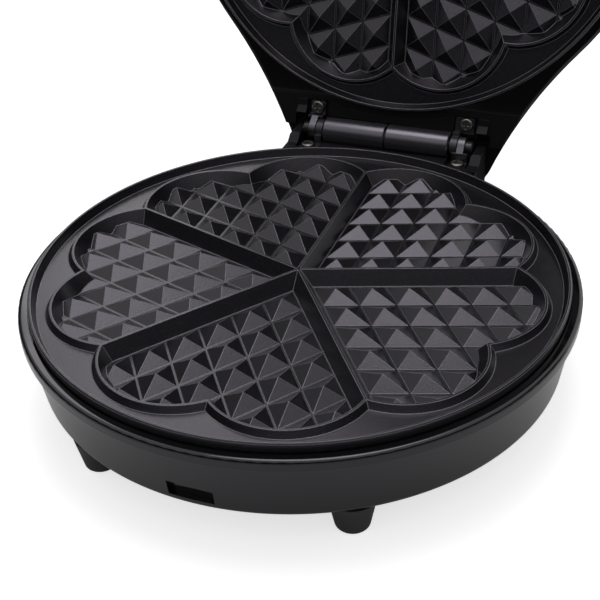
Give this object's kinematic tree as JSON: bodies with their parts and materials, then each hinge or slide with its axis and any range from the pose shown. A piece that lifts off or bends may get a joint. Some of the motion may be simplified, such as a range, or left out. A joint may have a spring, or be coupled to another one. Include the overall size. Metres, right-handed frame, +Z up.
{
  "type": "heart waffle maker",
  "caption": "Round gloss black waffle maker standing open, with heart-shaped moulds of pyramid pattern in non-stick plates, hinged lid, latch handle and dial.",
  "frame": {"origin": "on the table, under the centre of the lower plate", "axes": "+Z up out of the table; +Y to the hinge at the back, so the front is -Y; +X to the right seen from the front, along the hinge pins"},
  "size_m": [0.204, 0.2864, 0.2842],
  "materials": {
    "housing": "gloss black",
    "plate": "satin non-stick coating on cast aluminium",
    "barrel": "satin grey",
    "leaf": "pressed steel, slightly worn",
    "dark_leaf": "blackened steel",
    "screw": "zinc plated",
    "pin": "turned steel",
    "foot": "matt",
    "element": "heat-tinted tube",
    "sheet": "mill finish sheet",
    "black_plastic": "fine matt texture",
    "white_plastic": "matt, heat resistant",
    "knob": "semi-gloss black",
    "red_lens": "clear red",
    "green_lens": "clear green",
    "sleeve": "silicone sleeve"
  },
  "bodies": {
    "base": {"base_housing": "housing", "base_bottom_cover": "black_plastic", "bottom_cover_screws": "screw", "foot_front_left": "foot", "foot_front_right": "foot", "foot_rear_left": "foot", "foot_rear_right": "foot", "lower_plate": "plate", "lower_element": "element", "lower_clamp_ring": "sheet", "lower_heat_shield": "sheet", "lower_plate_screws": "screw", "base_hinge_barrel": "barrel", "hinge_pin_left": "pin", "hinge_pin_right": "pin", "lead_sleeve": "sleeve", "base_hinge_leaf_left": "dark_leaf", "base_hinge_leaf_right": "leaf", "base_leaf_screws": "screw", "terminal_block": "white_plastic", "thermal_fuse": "sheet", "cord_gland": "foot"},
    "lid": {"lid_housing": "housing", "lid_handle": "housing", "handle_screws": "screw", "latch_pin": "pin", "upper_plate": "plate", "upper_element": "element", "upper_clamp_ring": "sheet", "upper_heat_shield": "sheet", "upper_plate_screws": "screw", "lid_hinge_barrel": "barrel", "lid_hinge_leaf_left": "leaf", "lid_hinge_leaf_right": "dark_leaf", "lid_leaf_screws": "screw", "thermostat": "white_plastic", "lamp_holder": "white_plastic", "power_lamp_lens": "red_lens", "ready_lamp_lens": "green_lens"},
    "latch": {"latch": "black_plastic"},
    "knob": {"thermostat_knob": "knob", "thermostat_shaft": "pin"}
  },
  "joints": [
    {"name": "lid_hinge", "type": "hinge", "parent": "base", "child": "lid", "pos_m": [0, 0.11, 0.0435], "axis": [1, 0, 0], "range_deg": [0, 101.5]},
    {"name": "latch_pivot", "type": "hinge", "parent": "lid", "child": "latch", "pos_m": [0, 0.1672, 0.25943], "axis": [1, 0, 0], "range_deg": [0, 24]},
    {"name": "thermostat_turn", "type": "hinge", "parent": "lid", "child": "knob", "pos_m": [0, 0.17148, 0.19019], "axis": [0, 0.9799, -0.1994], "range_deg": [0, 270]}
  ]
}
